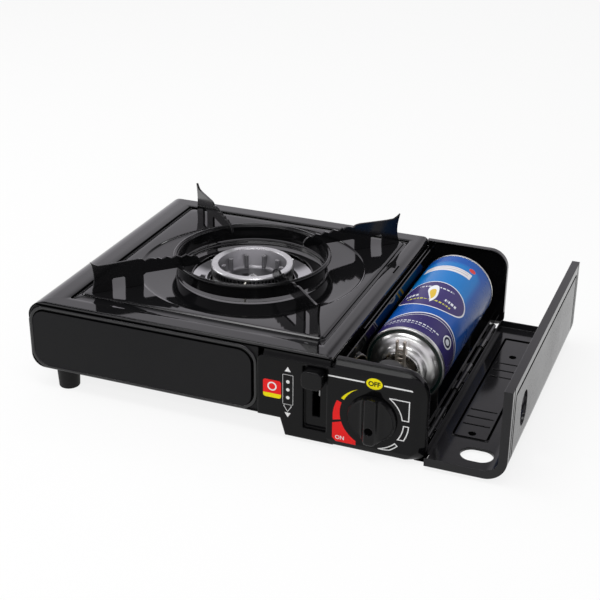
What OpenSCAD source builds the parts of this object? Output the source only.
// Portable stove for a butane cartridge.
// X runs from the burner side to the cartridge side, Y from the front to the rear, Z up from the table.
// The origin is the middle of the whole, with the lid open, on the table.

/* [Casing] */
// Width of the burner side, to the right edge of the top plate
burner_side_w = 275.5; // [270:0.5:290]
// Thickness of the steel sheet
sheet = 0.8; // [0.6:0.1:1.0]
// Height of the burner side's underside above the table
tall_foot_h = 18.6; // [16:0.2:22]
// Height of the cartridge side's underside above the table
low_foot_h = 3.5; // [3:0.1:5]
// Radius of the casing's top left edge
top_edge_r = 16; // [12:0.5:20]
// Radius of the casing's bottom left edge
low_edge_r = 12; // [8:0.5:14]
// Gap between sheets that lap each other
lap_gap = 0.1; // [0.05:0.05:0.2]
// Depth of the top plate's turned-down front edge
plate_lip = 3.4; // [2.5:0.1:5]

/* [Top plate] */
// Left side to the pressed channel
channel_left = 32.8; // [28:0.2:36]
// Front edge to the pressed channel
channel_front = 16.8; // [14:0.2:20]
// Right edge of the plate to the pressed channel
channel_right = 14.5; // [12:0.5:18]
// Rear edge to the pressed channel
channel_rear = 18; // [14:0.5:22]
// Width of the channel along the front
channel_front_w = 9.9; // [8:0.1:12]
// Width of the channel along the other sides
channel_side_w = 3.6; // [3:0.1:5]
// Depth of the channel
channel_deep = 1.2; // [0.8:0.1:1.6]
// Radius of the well round the burner
well_r = 100.3; // [98:0.1:102]
// Depth of the well at its step
well_deep = 5.5; // [4.5:0.1:6.5]
// Radius of the hole round the burner
plate_hole_r = 53; // [50:0.5:55]

/* [Burner] */
// Left side to the burner's axis
burner_x = 148.8; // [146:0.2:150]
// Front edge to the burner's axis
burner_y = 135.8; // [132:0.2:138]
// Outer radius of the burner head
head_r = 37; // [35:0.1:38]
// Height of the head's rim above the top plate
head_proud = 4.3; // [3:0.1:6]
// Width of the head's flat rim
rim_w = 6.5; // [5.5:0.1:7.5]
// Depth of the bowl inside the head
bowl_deep = 16.3; // [14:0.1:18]
// Number of flame slots round the head
slot_count = 66; // [48:1:72]
// Width of a flame slot
slot_w = 1.3; // [1:0.1:1.6]
// Number of bosses inside the bowl
boss_count = 10; // [6:1:12]
// Height of the mixing tube's axis below the top plate
tube_drop = 25.5; // [24:0.5:28]
// Outer radius of the mixing tube
tube_r = 7; // [6:0.1:8]

/* [Pan support] */
// Radius to the outer end of the arms' feet
arm_foot_r = 147.4; // [145:0.2:148]
// Height of the arms' top edge above the plate
arm_h = 24.3; // [22:0.1:28]
// Height of the horn at the outer end above the arms' top edge
horn_h = 4.6; // [3:0.1:6]
// Thickness of the arms
arm_t = 2; // [1.6:0.1:2.4]
// Radius to the middle of the ring's rolled rim
ring_r = 68.9; // [67:0.1:72]
// Radius of the rolled rim's own section
rim_roll_r = 2; // [1.6:0.1:2.4]
// Height of the rolled rim's top above the plate
ring_top = 13.9; // [12.5:0.1:15]

/* [Cartridge] */
// Radius of the cartridge
can_r = 33.5; // [33:0.1:34]
// Length of the cartridge from seam to seam
can_len = 161; // [155:1:165]
// Front face of the casing to the cartridge's front seam
can_y = 72.5; // [72:0.5:80]
// Height of the rolled seams above the cartridge's side
seam_h = 0.4; // [0.3:0.1:0.6]
// Gap between the compartment's floor and the cartridge
can_lift = 8.9; // [8:0.1:12]
// Gap between the partition and the cartridge's side
can_side_gap = 1.7; // [1.2:0.1:3]
// Gap between the cartridge's top and the closed lid
can_headroom = 0.8; // [0.6:0.1:2]
// Gap behind the cartridge to the rear wall
can_rear_room = 30.5; // [28:0.5:40]
// Radius of the valve stem
stem_r = 2; // [1.8:0.1:2.2]
// How far the lever pulls the cartridge forward
dock_travel = 4.5; // [3.5:0.1:4.8]

/* [Lid] */
// Gap between the plate's right edge and the closed lid
lid_gap = 1; // [0.8:0.1:2]
// Step up from the top plate to the closed lid
lid_over = 0.7; // [0.5:0.1:1.5]
// Gap between the housing's side and the closed lid
lid_side_gap = 0.6; // [0.5:0.1:1.5]
// Depth of the lid's turned edges
lid_flange = 7; // [5:0.5:8]
// Radius of the lid's long bend
lid_bend_r = 18.2; // [15:0.2:20]
// Front of the housing's face to the lid's front edge
lid_front_gap = 1.6; // [1.2:0.1:2.5]
// Rear end of the lid to the casing's rear face
lid_rear_gap = 6.3; // [6:0.1:8]
// Height of the hinge's axis above the cartridge side's underside
hinge_h = 7; // [6.5:0.1:8]
// Cartridge's side to the hinge's axis
hinge_out = 1.6; // [1.5:0.1:3]
// Radius of the hinge pin
hinge_pin_r = 1.5; // [1.2:0.1:1.6]
// Radial running gap of the hinge pin
hinge_fit = 0.06; // [0.03:0.01:0.1]
// Outer radius of the hinge's knuckles
knuckle_r = 2.6; // [2.4:0.1:2.8]
// Number of the lid's knuckles
knuckle_count = 3; // [2:1:4]

/* [Controls] */
// How far the face stands in front of the casing
face_proud = 1.4; // [1:0.1:2]
// Wall of the control housing
housing_wall = 2.2; // [1.8:0.1:2.6]
// Right edge of the top plate to the control housing's left edge
housing_in = 63; // [59.5:0.5:65.5]
// Height of the knob's axis
knob_z = 35; // [34:0.5:37]
// How far the knob's axis is left of the cartridge's
knob_in = 2.9; // [2:0.1:4]
// Radius of the knob
knob_r = 20.4; // [19:0.1:21]
// How far the knob stands out of the face
knob_proud = 9.2; // [9:0.2:12]
// Turn of the knob from OFF to its end
knob_turn = 150; // [120:5:150]
// Radius of the valve spindle
spindle_r = 3; // [2.6:0.1:3.4]
// Radial running gap of the spindle
spindle_fit = 0.05; // [0.03:0.01:0.1]
// Right edge of the top plate to the middle of the lever's slot
lever_in = 13.7; // [12.7:0.1:14.5]
// Travel of the lever, down to locked
lever_travel = 34; // [30:1:36]
// Width of the lever's nub
nub_w = 17.7; // [15:0.1:19]
// Height of the lever's nub
nub_h = 16; // [14:0.5:17]
// How far the nub stands out of the face
nub_proud = 8.6; // [7:0.1:8.8]
// Stroke of the igniter's plunger
spark_stroke = 4; // [3:0.1:5]
// Small gap kept between parts that move past each other
slip = 0.3; // [0.25:0.05:0.5]

/* [Hidden] */
$fn = 64;
eps = 0.01;

// Cartridge and what is sized by it
seam_r = can_r + seam_h;
can_z = low_foot_h + sheet + can_lift + can_r;
partition_x = burner_side_w + 1.7;
can_x = partition_x + sheet + can_side_gap + can_r;
can_back = can_y + can_len;
case_d = can_back + can_rear_room;
collar_y = can_y - 13.2;
stem_tip_y = collar_y - 3.8;

// Hinge, closed lid and casing height
hinge_x = can_x + can_r + hinge_out;
hinge_z = low_foot_h + hinge_h;
lid_top = can_z + seam_r + can_headroom + sheet;
case_h = lid_top - lid_over;
plate_under = case_h - sheet;
lid_reach = hinge_x + lid_top - hinge_z;
lid_edge_z = hinge_z + hinge_x - burner_side_w - lid_gap;
lid_side_in = hinge_x + hinge_h - sheet;
case_right = lid_side_in - lid_side_gap;
lid_front = -face_proud - lid_front_gap - sheet;
lid_back = case_d - lid_rear_gap;
lid_clear_y = 13;
tray_right = hinge_x - knuckle_r - slip - sheet;
leaf_x = tray_right;

// Middle of the whole, with the lid open
knob_front = -face_proud - knob_proud;
mid_x = lid_reach / 2;
mid_y = (knob_front + case_d) / 2;

// Steps in the casing's underside
step_x = [burner_side_w - 43.2, burner_side_w - 38.8];
housing_left = burner_side_w - housing_in;
lever_x = burner_side_w - lever_in;
step_low = low_foot_h;

// Burner
head_top = case_h + head_proud;
bowl_floor = head_top - bowl_deep;
skirt_z = head_top - 8.3;
tube_z = case_h - tube_drop;
jet_x = can_x - 22;
jet_y = 41;
tube_run = [burner_x - jet_x, burner_y - jet_y];
tube_turn = atan2(tube_run[1], tube_run[0]);
tube_len = norm(tube_run);
base_r = head_r - 1;
base_floor = tube_z - tube_r - 2;
drip_r = 59;
drip_floor = case_h - well_deep - sheet - lap_gap - 5.8;

// Control group
face_y = -face_proud;
rim_x = burner_side_w + lid_gap + sheet + 0.8;
knob_x = can_x - knob_in;
reg_r = 16;
boss_r = 4.6;
reg_front = 12;
reg_back = stem_tip_y - 1;
cam_y = 6.2;
cam_t = 3;
cam_r = 8;
plunger_r = 2.2;
spark_back = reg_front - lap_gap;
clamp_y = stem_tip_y - 1.3;
clamp_z0 = 37;
clamp_z1 = tube_z - tube_r - 1.2;
slot_y = 22;
slot_z = low_foot_h + sheet + 3.5 + lever_travel;

module placed() {
  translate([-mid_x, -mid_y, 0]) children();
}

// Extrudes an outline drawn in X and Z from one Y to another
module along_y(from, to) {
  translate([0, to, 0]) rotate([90, 0, 0]) linear_extrude(to - from) children();
}

// Extrudes an outline drawn in Y and Z from one X to another
module along_x(from, to) {
  translate([from, 0, 0]) rotate([90, 0, 90]) linear_extrude(to - from) children();
}

// Turns an outline drawn in radius and Z round a vertical axis
module turned(x, y) {
  translate([x, y, 0]) rotate_extrude($fn = 96) children();
}

// Turns an outline drawn in radius and Y round an axis along Y
module turned_y(x, z) {
  translate([x, 0, z]) rotate([-90, 0, 0]) rotate_extrude($fn = 96) children();
}

// Rectangle with its own radius at each corner: low left, low right, high right, high left
module round_rect(x0, z0, x1, z1, r) {
  corners = [[x0, z0, 1, 1], [x1, z0, -1, 1], [x1, z1, -1, -1], [x0, z1, 1, -1]];
  difference() {
    translate([x0, z0]) square([x1 - x0, z1 - z0]);
    for (i = [0:3])
      if (r[i] > 0)
        translate([corners[i][0], corners[i][1]])
          translate([min(0, corners[i][2] * r[i]), min(0, corners[i][3] * r[i])])
            square(r[i]);
  }
  for (i = [0:3])
    if (r[i] > 0)
      translate([corners[i][0] + corners[i][2] * r[i], corners[i][1] + corners[i][3] * r[i]])
        circle(r[i]);
}

// The same rectangle as a band of sheet: every edge moves in by a, and b more for the inner edge
module round_band(x0, z0, x1, z1, r, a, b) {
  difference() {
    round_rect(x0 + a, z0 + a, x1 - a, z1 - a, [for (v = r) max(0, v - a)]);
    round_rect(x0 + a + b, z0 + a + b, x1 - a - b, z1 - a - b, [for (v = r) max(0, v - a - b)]);
  }
}

// Casing of the burner side: left wall and underside in one bent sheet, with a lap under the plate's skirt
module body_shell() {
  right = step_x[0];
  skirt_z = case_h - top_edge_r - 1.5;
  inner = sheet + lap_gap;
  color("#101012") placed() difference() {
    union() {
      along_y(0, case_d) intersection() {
        round_band(0, tall_foot_h, 2 * right, case_h, [low_edge_r, 0, 0, top_edge_r], 0, sheet);
        square([right, skirt_z - slip]);
      }
      along_y(inner, case_d - inner) {
        intersection() {
          round_band(0, tall_foot_h, 2 * right, case_h, [low_edge_r, 0, 0, top_edge_r], inner, sheet);
          translate([0, skirt_z - 12]) square([26, case_h]);
        }
        translate([sheet - eps, skirt_z - 12]) square([lap_gap + 2 * eps, 12 - slip]);
      }
    }
    // Room for the control housing
    translate([housing_left - lap_gap, -1, tall_foot_h - 1]) cube([right, 9 + lap_gap, sheet + 2]);
    for (x = foot_xs()) for (y = foot_ys()) translate([x, y, 0]) cylinder(r = 2.2, h = tall_foot_h + 5);
  }
}

function foot_xs() = [28.9];
function foot_ys() = [10.6, case_d - 12];

// Front of the burner side: one pressed sheet with a raised flat field
module front_panel() {
  inset = 2 * (sheet + lap_gap);
  low = tall_foot_h + sheet + lap_gap;
  high = case_h - plate_lip - lap_gap;
  color("#262628") placed() union() {
    along_y(1.2, 1.2 + sheet) intersection() {
      round_rect(inset, low, housing_left + 20, case_h - inset,
        [low_edge_r - inset, 0, 0, top_edge_r - inset]);
      translate([0, low]) square([housing_left - lap_gap, high - low]);
    }
    hull() {
      along_y(0, 0.1) round_rect(2.4, low + 1.2, housing_left - 6.1, high - 1.4, [10, 6, 8, 11], $fn = 32);
      along_y(1.1, 1.3) round_rect(2.2, low + 0.8, housing_left - 4.9, high - 0.8, [10, 6.5, 8.5, 12],
          $fn = 32);
    }
  }
}

// Outline of the pressed channel's outer edge, and of the field inside it
module channel_outer(grow) {
  translate([channel_left - grow, channel_front - grow])
    square([burner_side_w - channel_right - channel_left + 2 * grow,
      case_d - channel_rear - channel_front + 2 * grow]);
}

module channel_inner(grow) {
  x0 = channel_left + channel_side_w - grow;
  x1 = burner_side_w - channel_right - channel_side_w + grow;
  y0 = channel_front + channel_front_w - grow;
  y1 = case_d - channel_rear - channel_side_w + grow;
  round_rect(x0, y0, x1, y1, [3, 3, 3, 3]);
}

// Top plate: one pressing with turned edges, a channel round the field and a stepped well round the burner
module top_plate() {
  skirt_z = case_h - top_edge_r - 1.5;
  color("#0c0c0e") placed() difference() {
    union() {
      // Flat border with the left skirt and the right edge
      difference() {
        along_y(0, case_d) intersection() {
          round_band(0, 0, burner_side_w, case_h, [0, 0, 2, top_edge_r], 0, sheet);
          union() {
            translate([0, skirt_z]) square([60, case_h]);
            translate([30, case_h - 8.5]) square([burner_side_w, 20]);
          }
        }
        translate([0, 0, case_h - 3]) linear_extrude(6) channel_outer(0);
      }
      // Channel
      translate([0, 0, case_h - channel_deep - sheet]) linear_extrude(sheet) difference() {
        channel_outer(eps);
        channel_inner(0.4);
      }
      translate([0, 0, case_h - channel_deep - sheet + eps]) linear_extrude(channel_deep + sheet - eps) {
        difference() {
          channel_outer(sheet);
          channel_outer(0);
        }
        difference() {
          channel_inner(eps);
          channel_inner(-sheet);
        }
      }
      // Field
      difference() {
        translate([0, 0, plate_under]) linear_extrude(sheet) channel_inner(0);
        translate([burner_x, burner_y, case_h - 5]) cylinder(r = well_r - eps, h = 10, $fn = 96);
      }
      // Well
      turned(burner_x, burner_y) well_profile();
      // Turned-down front and rear edges
      for (y = [0, case_d - sheet]) along_y(y, y + sheet)
        intersection() {
          round_rect(0, 0, burner_side_w, case_h, [0, 0, 2, top_edge_r]);
          translate([3, case_h - plate_lip]) square([burner_side_w, 20]);
        }
    }
    // Slot in the right border
    translate([burner_side_w - 6.3, 171, case_h - 4]) cube([1.6, 16.5, 8]);
  }
}

// Half section of the well, from its rim down to the hole
module well_profile() {
  top = [[well_r + 0.6, 0], [well_r, -0.8], [72, -2.6], [67.5, -3], [66, well_z()],
      [plate_hole_r, well_z()]];
  polygon(concat(
    [for (p = top) [p[0], case_h + p[1]]],
    [for (i = [len(top) - 1:-1:0]) [top[i][0] - (i > 1 && i < 5 ? 0.4 : 0), case_h + top[i][1] - sheet]]));
}
function well_z() = -well_deep;

// Rear of the casing: one sheet, with a lip round the cartridge side
module rear_wall() {
  y0 = case_d - sheet;
  color("#0e0e10") placed() union() {
    along_y(y0 - sheet - lap_gap, y0 - lap_gap) intersection() {
      round_rect(2 * sheet + 2 * lap_gap, tall_foot_h + sheet + lap_gap, step_x[1] + 45,
        plate_under - sheet - 2 * lap_gap, [low_edge_r, 0, 0, top_edge_r]);
      square([burner_side_w - sheet - lap_gap, case_h]);
    }
    along_y(y0 - sheet - lap_gap, case_d)
      round_rect(burner_side_w + lap_gap, step_low, case_right, case_h - 1.3, [0, 8, 17.5, 0]);
    along_y(case_d - 5.6, case_d) intersection() {
      round_band(burner_side_w - 60, step_low, case_right, case_h - 1.3, [0, 8, 17.5, 0], 0, sheet);
      translate([burner_side_w + lap_gap, hinge_z + 8]) square([200, 100]);
    }
    along_y(y0 - sheet - lap_gap, case_d - sheet - lap_gap)
      polygon([[step_x[0] + 2, tall_foot_h + 2 * sheet + lap_gap],
          [step_x[1] + sheet + 0.4, step_low + sheet + lap_gap],
        [burner_side_w + 3, step_low + sheet + lap_gap], [burner_side_w + 3, tall_foot_h + 6],
        [burner_side_w - 10, tall_foot_h + 6], [step_x[0] + 2, tall_foot_h + 6]]);
  }
}

// Wall between the burner and the cartridge, bent to stand clear of the cartridge
module partition() {
  t = sheet;
  x = partition_x;
  z0 = step_low + sheet + lap_gap;
  top = lid_top - lid_flange - slip;
  color("#131315") placed() difference() {
    along_y(9, case_d - 2 * sheet - 2 * lap_gap - 0.8)
      polygon([[x, z0], [x + t, z0], [x + t, z0 + 47.6], [x + t + 4, z0 + 61.6], [x + t + 4, top],
        [x + 4, top], [x + 4, z0 + 61.6], [x, z0 + 47.6]]);
    translate([burner_x, burner_y, tube_z]) rotate([0, 90, tube_turn + 180])
      cylinder(r = tube_r + 0.5, h = tube_len + 40);
    translate([x - 1, clamp_y - dock_travel - 0.6, clamp_z0 - 0.6]) cube([6, dock_travel + 2,
        clamp_z1 - clamp_z0 + 3]);
    translate([x - 1, 43.6, 11.5]) rotate([0, 90, 0]) cylinder(r = 3.6, h = 4);
  }
}

// Floor of the cartridge side, with a sloped left side and an upturned right edge
module compartment_tray() {
  t = sheet;
  z0 = step_low;
  color("#101012") placed() difference() {
    along_y(8.4, case_d - 2 * sheet - 2 * lap_gap)
      polygon([[step_x[0] - 10, tall_foot_h + t], [step_x[0] + 0.4, tall_foot_h + t], [step_x[1] - 0.2, z0],
        [tray_right, z0], [tray_right, hinge_z + 4.5], [tray_right - t, hinge_z + 4.5],
        [tray_right - t, z0 + t], [step_x[1] + 0.5, z0 + t], [step_x[0] + 1.2, tall_foot_h + 2 * t],
        [step_x[0] - 10, tall_foot_h + 2 * t]]);
    for (p = low_foot_places()) translate([p[0], p[1], 0]) cylinder(r = 1.6, h = 20);
  }
}
function low_foot_places() = [[tray_right - 16, 32], [tray_right - 16, case_d - 14]];

// Saddles that carry the cartridge, welded to the tray
module cartridge_cradle() {
  z0 = step_low + sheet;
  half = 24;
  color("#151517") placed() for (y = [can_y + 22, can_back - 34])
    along_y(y, y + 1.2) difference() {
      translate([can_x - half, z0]) square([2 * half, can_z - can_r + 8 - z0]);
      translate([can_x, can_z]) circle(can_r + slip, $fn = 96);
      for (s = [-1, 1]) translate([can_x + s * 13, z0 + 4.2]) circle(2);
    }
}

// Rubber feet under the burner side
module tall_feet() {
  color("#151515") placed() for (x = foot_xs()) for (y = foot_ys()) translate([x, y, 0]) difference() {
    union() {
      rotate_extrude() polygon([[0, 0], [8.4, 0], [9, 0.6], [10, tall_foot_h], [0, tall_foot_h]]);
      cylinder(r = 2.1, h = tall_foot_h + sheet + 0.6);
      translate([0, 0, tall_foot_h + sheet + lap_gap]) cylinder(r1 = 3.6, r2 = 2, h = 2.4);
    }
    translate([0, 0, -1]) cylinder(r = 3, h = 4);
  }
}

// Low pads under the cartridge side
module low_feet() {
  color("#151515") placed() for (p = low_foot_places()) translate([p[0], p[1], 0]) union() {
    cylinder(r = 7, h = low_foot_h);
    cylinder(r = 1.5, h = low_foot_h + sheet + 0.6);
    translate([0, 0, low_foot_h + sheet + lap_gap]) cylinder(r1 = 2.8, r2 = 1.6, h = 1.6);
  }
}

// Screws under the casing's front and rear edges
module casing_screws() {
  color("#3a3a3d") placed() for (x = [housing_left - 91.5, housing_left - 21]) for (y = [9,
      case_d - 9]) translate([x, y, tall_foot_h])
    rotate([180, 0, 0]) difference() {
      rotate_extrude($fn = 32) intersection() {
        translate([0, -3]) circle(4.6);
        square([3.2, 3]);
      }
      translate([-2, -0.3, 1]) cube([4, 0.6, 2]);
      translate([-0.3, -2, 1]) cube([0.6, 4, 2]);
    }
}

// Bright dish under the burner, hung from the plate's step
module drip_tray() {
  top = case_h - well_deep - sheet - lap_gap;
  t = 0.6;
  color("#c9c9c6") placed() difference() {
    turned(burner_x, burner_y)
      polygon([[drip_r + 3, top], [drip_r - 1, top], [drip_r - 3, top - 0.6],
          [drip_r - 5, drip_floor + t], [base_r + 2, drip_floor + t],
        [base_r + 2, drip_floor], [drip_r - 4.6, drip_floor], [drip_r - 2.6, top - 1.1],
            [drip_r - 0.8, top - t], [drip_r + 3, top - t]]);
    translate([electrode_at[0], electrode_at[1], drip_floor - 2]) cylinder(r = 2.4 + slip, h = 6);
  }
}

// Cast cup under the burner head: gas and air turn round the trough inside it
module burner_base() {
  well = bowl_floor - 1.5;
  color("#9a9b9c") placed() difference() {
    turned(burner_x, burner_y)
      polygon([[0, base_floor], [base_r - 6, base_floor], [base_r, base_floor + 6], [base_r, skirt_z],
          [base_r - 2.2, skirt_z],
        [base_r - 2.2, base_floor + 7], [base_r - 7, base_floor + 2], [26, base_floor + 2],
            [26, base_floor + 20],
        [28, base_floor + 20], [28, well], [26, well], [25.8, base_floor + 20.5],
            [6, base_floor + 20.5], [6, well], [0, well]]);
    translate([burner_x, burner_y, tube_z]) rotate([0, 90, tube_turn + 180]) translate([0, 0, 28])
      cylinder(r = tube_r + lap_gap, h = 20);
    translate([burner_x, burner_y, well - 10]) cylinder(r = 2, h = 20);
  }
}

// Burner head: flat rim over a slotted skirt, with a ribbed bowl in the middle
module burner_head() {
  well = bowl_floor - 1.5;
  in_r = head_r - rim_w;
  color("#b9babb") placed() difference() {
    union() {
      turned(burner_x, burner_y)
        polygon([[3, well], [28.4, well], [28.4, bowl_floor + 1], [in_r + 1.8, head_top - 2.4],
            [head_r - 1.8, head_top - 2.4],
          [head_r - 1.8, skirt_z], [head_r, skirt_z], [head_r, head_top - 0.8], [head_r - 0.8, head_top],
          [in_r + 0.5, head_top], [in_r, head_top - 0.6], [26.4, bowl_floor + 1.5], [25.5, bowl_floor],
              [3, bowl_floor]]);
      for (i = [0:boss_count - 1]) translate([burner_x, burner_y, bowl_floor - 0.5])
        rotate([0, 0, (i + 0.5) * 360 / boss_count]) translate([26, 0, 0])
          cylinder(r = 2, h = bowl_deep - 3.6, $fn = 24);
    }
    for (i = [0:slot_count - 1]) translate([burner_x, burner_y, skirt_z + 1.4])
      rotate([0, 0, i * 360 / slot_count]) translate([head_r - 2.4, -slot_w / 2, 0]) cube([4, slot_w, 3.6]);
    for (i = [0:boss_count - 1]) translate([burner_x, burner_y, head_top - 6])
      rotate([0, 0, (i + 0.5) * 360 / boss_count]) translate([25.6, 0, 0]) cylinder(r = 0.7, h = 4,
          $fn = 16);
  }
}

// Screw that holds the head to its cup
module burner_screw() {
  color("#d0d0d0") placed() translate([burner_x, burner_y, bowl_floor + lap_gap]) difference() {
    union() {
      rotate_extrude($fn = 48) polygon([[0, 0], [6.4, 0], [6.4, 0.8], [4, 0.9], [4, 2.4], [3.2, 3.2],
          [0, 3.6]]);
      translate([0, 0, -9.5]) cylinder(r = 1.9, h = 10);
    }
    translate([-3, -0.5, 2.4]) cube([6, 1, 2]);
    translate([-0.5, -3, 2.4]) cube([1, 6, 2]);
  }
}

// Bent strap that carries the burner's cup from the casing's underside
module burner_bracket() {
  z0 = tall_foot_h + sheet;
  z1 = base_floor;
  t = 1.2;
  w = 22;
  color("#7d7f82") placed() translate([burner_x, burner_y, 0]) along_y(-w / 2, w / 2)
    polygon([[-46, z0], [-24 - t, z0], [-24 - t, z1 - t], [24 + t, z1 - t], [24 + t, z0], [46, z0],
      [46, z0 + t], [24 + 2 * t, z0 + t], [24 + 2 * t, z1], [-24 - 2 * t, z1], [-24 - 2 * t, z0 + t],
          [-46, z0 + t]]);
}

// Tube that mixes gas and air on the way to the burner, belled at its mouth
module mixing_tube() {
  from = base_r - 3.4;
  to = tube_len - 9;
  color("#a4a6a8") placed() translate([burner_x, burner_y, tube_z]) rotate([0, 90, tube_turn + 180])
    rotate_extrude() polygon([[tube_r - 1, from], [tube_r, from], [tube_r, to - 60],
        [tube_r - 1.5, to - 40], [tube_r - 1.5, to - 30],
      [tube_r, to - 12], [tube_r, to], [tube_r - 1, to], [tube_r - 1, to - 12], [tube_r - 2.5, to - 30],
      [tube_r - 2.5, to - 40], [tube_r - 1, to - 60]]);
}

// Brass jet that blows into the tube's mouth, held by the regulator
module gas_jet() {
  reach = tube_len - 12;
  color("#b5924a") placed() union() {
    translate([burner_x, burner_y, tube_z]) rotate([0, 90, tube_turn + 180]) translate([0, 0, reach])
      rotate_extrude($fn = 48) polygon([[0.6, 0], [1.6, 0], [2.6, 3], [2.6, 8], [3.6, 8], [3.6, 13],
          [0.6, 13]]);
    translate([jet_x, jet_y, tube_z]) rotate([0, 90, 0]) translate([0, 0, -2.4]) cylinder(r = 3.4,
        h = jet_seat() + 2.4);
  }
}
function jet_seat() = can_x - jet_x - sqrt(reg_r * reg_r - pow(tube_z - can_z - 3.4, 2)) - lap_gap;

// Spark electrode: steel pin in a ceramic sleeve, beside the head
electrode_turn = -75;
electrode_at = [burner_x + (head_r + 8) * cos(electrode_turn),
    burner_y + (head_r + 8) * sin(electrode_turn)];
module electrode() {
  z0 = base_floor + 6;
  collar = drip_floor - lap_gap - z0;
  top = case_h - z0;
  color("#e8e4da") placed() translate([electrode_at[0], electrode_at[1], z0]) union() {
    rotate_extrude($fn = 48) polygon([[0, 0], [2.4, 0], [2.4, collar - 2.6], [3.4, collar - 2.2],
        [3.4, collar], [2.4, collar],
      [2.4, top - 1], [1.4, top], [0, top]]);
    translate([0, 0, top - 1]) cylinder(r = 0.8, h = 4.4, $fn = 24);
    translate([0, 0, top + 2.4]) rotate([0, 90, electrode_turn + 180]) cylinder(r = 0.65, h = 4.6, $fn = 24);
  }
}

// Outline of the control housing: a shallow left part and a deep right part
module housing_outline(cut) {
  top_left = case_h - 9;
  difference() {
    union() {
      round_rect(housing_left + cut, step_low + cut, rim_x, top_left - cut, [0, 0, 0, max(0.5, 5 - cut)]);
      round_rect(rim_x - 20, step_low + cut, case_right - cut, top_left - cut, [0, 10 - cut, 0, 0]);
    }
    polygon([[housing_left - 1, tall_foot_h + cut], [step_x[0] + cut * 0.6, tall_foot_h + cut],
        [step_x[1] + cut, step_low + cut],
      [step_x[1] + cut, step_low - 5], [housing_left - 1, step_low - 5]]);
  }
}

// Plateau of the face, and the deeper rim behind it, right of the top plate
module face_outline(cut) {
  round_rect(rim_x + cut, step_low + 0.6 + cut, case_right - 10 - cut, case_h - 10 - cut,
    [0, max(1, 6 - cut), max(1, 12 - cut), 0]);
}

module rim_outline(cut) {
  round_rect(rim_x + cut, step_low + cut, case_right - cut, case_h - 1.5 - cut,
    [0, 10 - cut, 21 - cut, 0]);
}

// Moulded control housing, open at the back
module control_housing() {
  w = housing_wall;
  back = 8;
  recess_w = 20.2;
  recess_z0 = step_low + 9.5;
  top_left = case_h - 9;
  recess_z1 = case_h - 10.8;
  color("#141416") placed() difference() {
    union() {
      along_y(face_y, back) intersection() {
        housing_outline(0);
        square([rim_x + eps, 200]);
      }
      hull() {
        along_y(face_y, face_y + 0.2) face_outline(0, $fn = 32);
        along_y(2.2, 2.4) rim_outline(0, $fn = 32);
      }
      along_y(2.3, back) rim_outline(0);
      // Sloping ledge from the left part's face up behind the top plate's lip
      along_x(housing_left + 5, burner_side_w - sheet - slip) polygon([[face_y + 0.2, top_left - 2],
        [face_y + 0.2, top_left - 0.2], [1.1, top_left + 3.6], [1.1, plate_under - slip],
        [3, plate_under - slip], [3, top_left - 2]]);
      // Boss behind the lever's slot
      along_y(2, 5.6) translate([lever_x - recess_w / 2 - w, recess_z0 - w]) square([recess_w + 2 * w,
          recess_z1 - recess_z0 + w + 2]);
    }
    // Hollow of the left part
    along_y(face_y + w, back + 1) difference() {
      intersection() {
        housing_outline(w);
        square([rim_x - w, 200]);
      }
      translate([lever_x - recess_w / 2 - w, 0]) square([recess_w + 2 * w, 200]);
    }
    // Hollow behind the lever's recess
    along_y(5.6, back + 1) intersection() {
      housing_outline(w);
      translate([lever_x - recess_w / 2 - w - 1, 0]) square([recess_w + 2 * w + 2, 200]);
    }
    // Hollow of the right part
    along_y(face_y + w, 4) face_outline(w);
    along_y(3.6, back + 1) rim_outline(w);
    // Lever's recess and slot
    along_y(face_y - 1, 2.6) round_rect(lever_x - recess_w / 2, recess_z0, lever_x + recess_w / 2,
        recess_z1, [2, 2, 2, 2]);
    along_y(2, 7) translate([lever_x - 3.3, slot_z0()]) square([6.6, slot_z1() - slot_z0()]);
    // Hole for the knob's hub
    translate([knob_x, face_y - 1, knob_z]) rotate([-90, 0, 0]) cylinder(r = 7, h = 6);
  }
}
function nub_top() = case_h - 11.5;
function stem_mid() = nub_top() - nub_h / 2;
function slot_z1() = stem_mid() + 4.3;
function slot_z0() = stem_mid() - lever_travel - 4.3;

// Knob: a low drum cut down on both sides of a grip bar with hollow flanks
knob_bar = 4.6;
knob_scoop = 6.4;
function knob_section(front, back) = let (c = knob_bar + knob_scoop, floor = front - 0.3 + knob_scoop)
  concat([[c + 20, back], [c + 20, floor]],
    [for (a = [90:-10:10]) [c - knob_scoop * cos(a), front - 0.3 + knob_scoop * sin(a)]],
    [[knob_bar, front], [-knob_bar, front]],
    [for (a = [10:10:90]) [knob_scoop * cos(a) - c, front - 0.3 + knob_scoop * sin(a)]],
    [[-c - 20, floor], [-c - 20, back]]);

module control_knob() {
  front = knob_front;
  back = face_y - slip;
  color("#121214") placed() difference() {
    union() {
      intersection() {
        turned_y(knob_x, knob_z) polygon([[0, front], [knob_r - 1.6, front], [knob_r - 0.5, front + 0.5],
          [knob_r, front + 1.6], [knob_r, back], [0, back]]);
        translate([knob_x, 0, knob_z - 30]) linear_extrude(60) polygon(knob_section(front, back));
      }
      translate([knob_x, back - 0.5, knob_z]) rotate([-90, 0, 0]) cylinder(r = 6.6, h = 4);
    }
    // Round mark on the bar
    translate([knob_x, front - 1, knob_z - 7.5]) rotate([-90, 0, 0]) cylinder(r = 2, h = 2);
    translate([knob_x, front + 4, knob_z]) rotate([-90, 0, 0]) cylinder(r = spindle_r + lap_gap, h = 40);
  }
}

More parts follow.
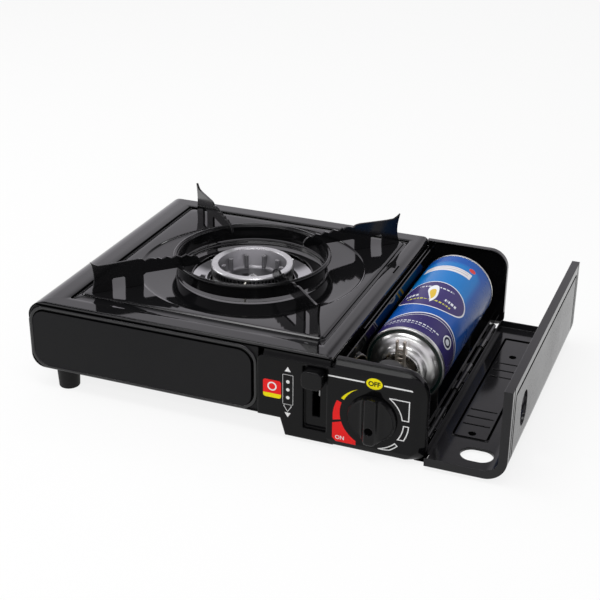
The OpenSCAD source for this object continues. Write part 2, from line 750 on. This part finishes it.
// Spindle that the knob turns, held in the regulator's bore
module valve_spindle() {
  color("#b9bbbe") placed() union() {
    translate([knob_x, knob_front + 4.4, knob_z]) rotate([-90, 0, 0]) cylinder(r = spindle_r,
        h = 30 - knob_front - 4.4);
    translate([knob_x, reg_front - 1.4, knob_z]) rotate([-90, 0, 0]) cylinder(r = spindle_r + 1.6, h = 1.2);
  }
}

// Radius of the spiral cam, rising over the knob's travel
function cam_at(a) = cam_r + spark_stroke * min(1, max(0, a / knob_turn));
module valve_cam() {
  color("#c7c7c3") placed() difference() {
    translate([knob_x, cam_y + cam_t, knob_z]) rotate([90, 0, 0]) linear_extrude(cam_t)
      polygon([for (a = [-60:6:knob_turn + 20]) cam_at(a) * [cos(90 - a), sin(90 - a)]]);
    translate([knob_x, cam_y - 1, knob_z]) rotate([-90, 0, 0]) cylinder(r = spindle_r + lap_gap, h = 10);
  }
}

// Needle that opens as the spindle turns, in the regulator's bore
module valve_needle() {
  color("#c9a860") placed() translate([knob_x, 30 + slip, knob_z]) rotate([-90, 0, 0])
    rotate_extrude($fn = 48) polygon([[0, 0], [2.4, 0], [2.4, 4], [1.2, 5.2], [0, 7.2]]);
}

// Cast regulator: spindle bore at the front, socket for the cartridge's stem at the rear
module regulator_body() {
  color("#8d9093") placed() difference() {
    union() {
      turned_y(can_x, can_z) polygon([[0, reg_front], [reg_r, reg_front], [reg_r, reg_back - 10],
          [reg_r - 1, reg_back - 9],
        [boss_r, reg_back - 9], [boss_r, reg_back], [0, reg_back]]);
      along_y(reg_front, reg_front + 3) round_rect(can_x - 26, can_z - 18, can_x + 26, can_z + 18, [5,
          5, 5, 5]);
      translate([can_x, 30, can_z]) cylinder(r = 9, h = reg_r + 5);
      along_y(reg_front, reg_front + 12) translate([can_x - 15, step_low + sheet]) square([6,
          can_z - 12 - step_low]);
      along_y(reg_front, reg_front + 12) translate([can_x + 9, step_low + sheet]) square([6,
          can_z - 12 - step_low]);
    }
    translate([knob_x, reg_front - 1, knob_z]) rotate([-90, 0,
        0]) cylinder(r = spindle_r + spindle_fit, h = 19.5);
    translate([knob_x, reg_front + 18, knob_z]) rotate([-90, 0, 0]) cylinder(r = 2.8, h = 12);
    translate([can_x, reg_back - 9.5, can_z]) rotate([-90, 0, 0]) cylinder(r = stem_r + 0.6, h = 12);
    for (s = [-1, 1]) for (t = [-1, 1]) translate([can_x + s * 21, reg_front - 1, can_z + t * 13])
      rotate([-90, 0, 0]) cylinder(r = 1.6, h = 5);
  }
}

// Screws of the regulator's flange
module regulator_screws() {
  color("#c4c6c8") placed() for (s = [-1, 1]) for (t = [-1, 1]) translate([can_x + s * 21,
      reg_front + 3 + lap_gap, can_z + t * 13])
    rotate([-90, 0, 0]) union() {
      cylinder(r = 2.8, h = 2);
      translate([0, 0, -3.6]) cylinder(r = 1.5, h = 4);
    }
}

// Spark unit above the cam, on the front of the regulator's flange
module piezo_igniter() {
  w = 12;
  z0 = knob_z + cam_r + spark_stroke + 2.6;
  color("#e0d7c2") placed() difference() {
    translate([knob_x - w / 2, spark_back - 7.8, z0]) cube([w, 7.8, 18]);
    translate([knob_x, cam_y + cam_t / 2, z0 - 1]) cylinder(r = plunger_r + slip, h = 14);
  }
}

// Plunger, with a blunt point on the cam
module igniter_plunger() {
  color("#d8cfba") placed() translate([knob_x, cam_y + cam_t / 2, knob_z + cam_r + slip])
    rotate_extrude($fn = 48) polygon([[0, 0], [0.5, 0], [plunger_r, 2.4], [plunger_r, 14], [0, 14]]);
}

// Route of the ignition wire, from the spark unit to the electrode
function wire_points() = concat(
  [for (p = [[-6.6, 8, 25], [-14, 8.2, 22.5]]) [knob_x + p[0], p[1], knob_z + p[2]]],
  [for (p = [[11.5, 8.6, 52], [9.1, 9.6, 43], [8.9, 12, 32], [8.7, 18, 20], [6.5, 30, 13], [3.5, 42, 11.5],
    [-7.5, 54, 11.5], [-21.5, 68, 12.5], [-35.5, 80, 18], [-46.5, 84, 24]]) [burner_side_w + p[0],
        p[1], p[2]]],
  [for (p = [[48, -6, -27], [27, -4.5, -26.5], [10, -1.5, -21], [1.2, -0.2, -10], [0, 0, -0.6]])
    [electrode_at[0] + p[0], electrode_at[1] + p[1], base_floor + 6 + p[2]]]);
wire_r = 1.2;

function unit(v) = v / norm(v);
function wire_ring(p, d, n) =
  let (u = unit(cross(d, [0.1, 0.2, 1])), w = unit(cross(u, d)))
    [for (k = [0:n - 1]) p + wire_r * (cos(360 * k / n) * u + sin(360 * k / n) * w)];
function spline(p, i, t) =
  let (a = p[max(0, i - 1)], b = p[i], c = p[i + 1], d = p[min(len(p) - 1, i + 2)])
    0.5 * (2 * b + t * (c - a) + t * t * (2 * a - 5 * b + 4 * c - d) + t * t * t * (3 * b - a - 3 * c + d));

module ignition_wire() {
  p = wire_points();
  n = 8;
  path = concat([for (i = [0:len(p) - 2]) for (t = [0:0.25:0.99]) spline(p, i, t)], [p[len(p) - 1]]);
  m = len(path);
  rings = [for (i = [0:m - 1]) each wire_ring(path[i], unit(path[min(m - 1, i + 1)] - path[max(0,
      i - 1)]), n)];
  sides = [for (i = [0:m - 2]) for (k = [0:n - 1]) [i * n + k, i * n + (k + 1) % n,
      (i + 1) * n + (k + 1) % n, (i + 1) * n + k]];
  color("#d9d9d6") placed() polyhedron(rings,
    concat([[for (k = [n - 1:-1:0]) k]], sides, [[for (k = [0:n - 1]) (m - 1) * n + k]]));
}

// Lever's nub in front of the housing, and its stem through the slot
module lock_lever() {
  top = nub_top();
  color("#141416") placed() union() {
    along_y(face_y - nub_proud, 2.3) round_rect(lever_x - nub_w / 2, top - nub_h, lever_x + nub_w / 2,
        top, [5, 5, 5, 5]);
    along_y(2.2, 8) translate([lever_x - 2.8, stem_mid() - 4]) square([5.6, 8]);
  }
}

// Plate behind the lever, with a slanted slot that draws the clamp forward
module lever_plate() {
  x0 = lever_x - 0.6;
  rise = lever_travel;
  color("#85888c") placed() along_x(x0, x0 + 1.2) difference() {
    union() {
      translate([8 + lap_gap, stem_mid() - 9]) square([8, 18]);
      translate([10, slot_z - 3]) square([18, rise + 6]);
    }
    slot_cut(rise);
  }
}
module slot_cut(rise) {
  r = 1.5 + slip;
  n = unit([rise, dock_travel]);
  a = [slot_y, slot_z];
  b = [slot_y - dock_travel, slot_z + rise];
  translate(a) circle(r);
  translate(b) circle(r);
  polygon([a + r * n, b + r * n, b - r * n, a - r * n]);
}

// Slide with the pin that follows the slanted slot
module clamp_slide() {
  color("#7f8286") placed() union() {
    translate([lever_x - 4, slot_y, slot_z]) rotate([0, 90, 0]) cylinder(r = 1.5, h = 8);
    translate([lever_x + 2, slot_y - 4, clamp_z0]) cube([1.4, clamp_y - slot_y + 4, clamp_z1 - clamp_z0]);
  }
}

// Clamp that holds the cartridge's collar: a plate round the socket's boss with two prongs above it
module collar_clamp() {
  mid = can_x + 1;
  t = 0.8;
  color("#a79f92") placed() union() {
    along_y(clamp_y, clamp_y + t) difference() {
      union() {
        translate([lever_x + 2, clamp_z0]) square([can_x - 11 - lever_x - 2, clamp_z1 - clamp_z0]);
        translate([can_x - 11 - eps, clamp_z0]) square([22, can_z + 7 - clamp_z0]);
        for (k = [0:3]) translate([mid - 3.4, can_z + 9.4 + k * 4]) square([6.8, 1.8]);
      }
      translate([can_x, can_z]) circle(boss_r + 0.5);
    }
    for (s = [-1, 1]) translate([mid + s * 3.2 - 0.9, clamp_y, can_z + 5.4]) cube([1.8, 3.8, can_r - 9]);
  }
}

// Hinge: places of the lid's knuckles along Y, with the casing's knuckles on both sides of each
function hinge_span() = [lid_clear_y + 12, lid_back - 14];
knuckle_l = 16;
function knuckle_y(i)
    = hinge_span()[0] + knuckle_l + 1 + (hinge_span()[1] - hinge_span()[0] - 3 * knuckle_l - 2)
  * i / max(1, knuckle_count - 1);

module knuckle(y, l, bore) {
  translate([hinge_x, y, hinge_z]) rotate([-90, 0, 0]) difference() {
    cylinder(r = knuckle_r, h = l);
    translate([0, 0, -1]) cylinder(r = bore, h = l + 2);
  }
}

// Leaf of the hinge on the tray's upturned edge
module hinge_leaf() {
  color("#121214") placed() difference() {
    union() {
      along_x(leaf_x, leaf_x + sheet) difference() {
        translate([hinge_span()[0], step_low + 1]) square([hinge_span()[1] - hinge_span()[0], hinge_h + 3]);
      }
      for (i = [0:knuckle_count - 1]) for (y = [knuckle_y(i) - knuckle_l - slip,
          knuckle_y(i) + knuckle_l + slip]) {
        translate([leaf_x + eps, y, hinge_z - 1.2]) cube([hinge_x - leaf_x - 1.8, knuckle_l, 2.4]);
        translate([hinge_x, y, hinge_z]) rotate([-90, 0, 0]) cylinder(r = knuckle_r, h = knuckle_l);
      }
    }
    translate([hinge_x, 0, hinge_z]) rotate([-90, 0, 0]) cylinder(r = hinge_pin_r + lap_gap, h = case_d);
  }
}

module hinge_pin() {
  color("#9b9da0") placed() translate([hinge_x, hinge_span()[0] - 1, hinge_z]) rotate([-90, 0, 0])
    cylinder(r = hinge_pin_r, h = hinge_span()[1] - hinge_span()[0] + 2);
}

// Lid: one bent and flanged sheet, drawn open; its upright is the top when it is closed
module lid() {
  t = sheet;
  x0 = lid_side_in;
  x1 = lid_reach;
  z0 = low_foot_h;
  f = lid_flange;
  xh = hinge_x + 3.9;
  color("#0e0e10") placed() difference() {
    union() {
      // Flat part and upright
      along_y(lid_front, lid_back) difference() {
        round_band(x0 - 60, z0, x1, lid_edge_z + 60, [0, lid_bend_r, 0, 0], 0, t);
        translate([x0 - 100, z0 - 1]) square([100, 300]);
        translate([x0 - 100, lid_edge_z]) square([400, 300]);
      }
      // Strip behind the housing, with its upturned edge
      translate([xh, lid_clear_y, z0]) cube([x0 - xh + eps, lid_back - lid_clear_y, t]);
      translate([xh, lid_clear_y, z0]) cube([t, lid_back - lid_clear_y, f]);
      // Turned edge along the free side
      translate([x1 - f, lid_front, lid_edge_z - t]) cube([f, lid_back - lid_front, t]);
      // End flanges
      for (y = [lid_front, lid_back - t]) along_y(y, y + t) difference() {
        intersection() {
          round_rect(x0 - 60, z0, x1, lid_edge_z + 60, [0, lid_bend_r, 0, 0]);
          translate([y > 50 ? xh : x0, 0]) square([200, lid_edge_z]);
        }
        round_rect(x0 - 100, z0 + f, x1 - f, lid_edge_z + 100, [0, max(1, lid_bend_r - f), 0, 0]);
      }
      // Knuckles and their arms
      for (i = [0:knuckle_count - 1]) {
        knuckle(knuckle_y(i), knuckle_l, hinge_pin_r + hinge_fit);
        difference() {
          translate([hinge_x + 2, knuckle_y(i), hinge_z - 1.2]) cube([xh - hinge_x - 2 + eps,
              knuckle_l, 1.2]);
          translate([hinge_x, 0, hinge_z]) rotate([-90, 0, 0]) cylinder(r = hinge_pin_r + hinge_fit,
              h = case_d);
        }
      }
      // Lips round the two oval holes
      translate([oval_x(), oval_y(), z0 - 1.6]) linear_extrude(2) difference() {
        oval(28.6, 22);
        oval(27, 20.4);
      }
      along_x(x1 - 2.4, x1) translate([oval_up_y(), oval_up_z()]) difference() {
        oval(23.6, 31.6);
        oval(22, 30);
      }
      // Pressed frame on the flat part, raised from below
      translate([0, 0, z0 + t - eps]) linear_extrude(0.7) difference() {
        translate([x0 + 8, 48]) square([30.3, lid_back - 48 - 24]);
        translate([x0 + 9.4, 49.4]) square([27.5, lid_back - 48 - 26.8]);
      }
    }
    translate([oval_x(), oval_y(), z0 - 5]) linear_extrude(10) oval(27, 20.4);
    translate([x1 - 5, 0, 0]) along_x(0, 10) translate([oval_up_y(), oval_up_z()]) oval(22, 30);
    // Slits and small holes in the flat part
    for (y = [70.7, 83.3, 95.5, 158.2, 170.9, 184.4]) translate([x0 + 11.9, y - 0.9,
        z0 - 1]) cube([22.6, 1.8, 4]);
    for (y = [56.4, 199.2]) translate([x0 + 23.2, y, z0 - 1]) cylinder(r = 3.2, h = 4);
  }
}
function oval_x() = lid_side_in + 35.1;
function oval_y() = 26.4;
function oval_up_y() = 43.5;
function oval_up_z() = low_foot_h + 41.5;
module oval(w, d) {
  k = abs(w - d) / 2;
  r = min(w, d) / 2;
  n = w > d ? [k, 0] : [0, k];
  translate(n) circle(r);
  translate(-n) circle(r);
  translate([-(w > d ? k : r), -(w > d ? r : k)]) square([w > d ? 2 * k : w, w > d ? d : 2 * k]);
}

// Ring of the pan support: a straight band with a rolled upper rim
module pan_ring() {
  z1 = case_h + ring_top;
  color("#161618") placed() turned(burner_x, burner_y) {
    translate([ring_r, z1 - rim_roll_r]) circle(rim_roll_r, $fn = 24);
    translate([ring_r - rim_roll_r - 0.8, case_h - 0.4]) square([1, ring_top + 0.4 - rim_roll_r]);
  }
}

// Outline of one arm in radius and height above the plate, from the foot's outer corner round to the horn
function arm_end(z) = -2.6 * sin(180 * z / (arm_h + horn_h));
function arm_outline() =
  let (h = arm_h, r = arm_foot_r, top = h + horn_h)
    concat(
      [for (i = [0:8]) [r + arm_end(top * i / 8) * 1.0, top * i / 8]],
      [[r - 3, h + 2.2], [r - 6.5, h + 0.4], [r - 14, h + 0.2], [106, h + 1], [101.5, h + 0.2],
          [99.5, h - 1.8]],
      [for (i = [1:8]) [99.5 - i * 1.3, h - 1.8 + 1.5 * sin(22.5 * i)]],
      [for (i = [0:14]) [88.5 - i * 2.2, h - 1.4 - i * 0.14 + 1.0 * cos(i * 90)]],
      [[56, h - 3.4], [51.5, h - 6], [49.3, h - 9.5], [49.8, 11.5], [54, 11.2], [99, 11.2],
          [arm_inner_r(), 9.5], [arm_inner_r(), 0],
        [117.5, 0], [117.5, 9.6], [118.8, 11], [128, 11], [129.3, 9.6], [129.3, 0]]);
function arm_inner_r() = 101.3;

// One arm, notched over the ring's rim
module pan_arm(i) {
  color("#161618") placed() translate([burner_x, burner_y, case_h]) difference() {
    rotate([0, 0, 45 + 90 * i]) rotate([90, 0, 0]) translate([0, 0,
        -arm_t / 2]) linear_extrude(arm_t) polygon(arm_outline());
    rotate_extrude($fn = 96) {
      translate([ring_r, ring_top - rim_roll_r]) circle(rim_roll_r + lap_gap, $fn = 24);
      translate([ring_r - rim_roll_r - 0.8 - lap_gap, 0]) square([1 + 2 * lap_gap, ring_top - rim_roll_r]);
    }
  }
}

// Half sections of the cartridge, in radius and Y
module cartridge_can() {
  color("#1f5fb0") placed() turned_y(can_x, can_z)
    polygon([[can_r - 0.6, can_y + 2], [can_r, can_y + 2], [can_r, can_back - 2],
        [can_r - 0.6, can_back - 2]]);
}

// Domed front end with its rolled seam
module cartridge_dome() {
  y = can_y;
  c = collar_y;
  color("#c4c6c9") placed() turned_y(can_x, can_z)
    polygon([[can_r - 0.4, y + 1.9], [seam_r, y + 1.9], [seam_r, y - 0.4], [seam_r - 0.8, y - 1],
        [seam_r - 2, y - 0.4],
      [can_r - 2.6, y + 1.2], [can_r - 3.6, y + 0.4], [can_r - 4.2, y - 2.2], [can_r - 6.8, y - 5.2],
          [can_r - 10.4, y - 7],
      [can_r - 12.4, y - 7.5], [can_r - 13.4, y - 8.8], [can_r - 15.4, y - 10], [17, c + 2],
          [16.2, c + 2], [16.2, c + 2.8],
      [can_r - 15, y - 9], [can_r - 13.2, y - 8], [can_r - 11.8, y - 6.5], [can_r - 7.4, y - 4.6],
          [can_r - 4.8, y - 1.8],
      [can_r - 4.2, y + 1.2], [can_r - 2.6, y + 2.4], [can_r - 0.4, y + 2.4 - 0.5]]);
}

// Dished rear end with its rolled seam
module cartridge_base() {
  y = can_back;
  color("#c4c6c9") placed() turned_y(can_x, can_z)
    polygon([[can_r - 0.4, y - 1.9], [seam_r, y - 1.9], [seam_r, y + 0.4], [seam_r - 0.8, y + 1],
        [seam_r - 2, y + 0.4],
      [can_r - 3, y - 3], [can_r - 12, y - 6.4], [0, y - 8.4], [0, y - 9], [can_r - 12, y - 7],
          [can_r - 3.6, y - 3.6], [can_r - 2.4, y - 2.2]]);
}

// Collar and cup of the cartridge's valve
module cartridge_cup() {
  c = collar_y;
  color("#b4b6b9") placed() difference() {
    turned_y(can_x, can_z) polygon([[17, c + 1.9], [17, c + 0.5], [16.4, c], [15.2, c],
        [14.6, c + 0.6], [14.6, c + 4.6], [12.4, c + 5.6],
      [8, c + 5.2], [5.6, c + 4.6], [5.2, c + 2.4], [2.5, c + 2.2], [2.5, c + 3], [4.4, c + 3.2],
          [4.8, c + 5.4], [8, c + 6], [12.6, c + 6.4],
      [15.4, c + 5.2], [15.4, c + 2.7], [16, c + 1.9]]);
    translate([can_x - 2.5, c - 1, can_z + 15.5]) cube([5, 3.4, 3]);
  }
}

module cartridge_stem() {
  color("#d8d4c4") placed() turned_y(can_x, can_z)
    polygon([[0.6, stem_tip_y], [stem_r - 0.3, stem_tip_y], [stem_r, stem_tip_y + 0.4],
        [stem_r, collar_y + 9], [0.6, collar_y + 9]]);
}

body_shell();
front_panel();
top_plate();
rear_wall();
partition();
compartment_tray();
cartridge_cradle();
tall_feet();
low_feet();
casing_screws();
drip_tray();
burner_base();
burner_head();
burner_screw();
burner_bracket();
mixing_tube();
gas_jet();
electrode();
ignition_wire();
piezo_igniter();
igniter_plunger();
control_housing();
regulator_body();
regulator_screws();
valve_spindle();
valve_cam();
valve_needle();
control_knob();
lock_lever();
lever_plate();
collar_clamp();
clamp_slide();
hinge_leaf();
hinge_pin();
lid();
pan_ring();
pan_arm(0);  // pan_arm_1
pan_arm(1);  // pan_arm_2
pan_arm(2);  // pan_arm_3
pan_arm(3);  // pan_arm_4
cartridge_can();
cartridge_dome();
cartridge_base();
cartridge_cup();
cartridge_stem();
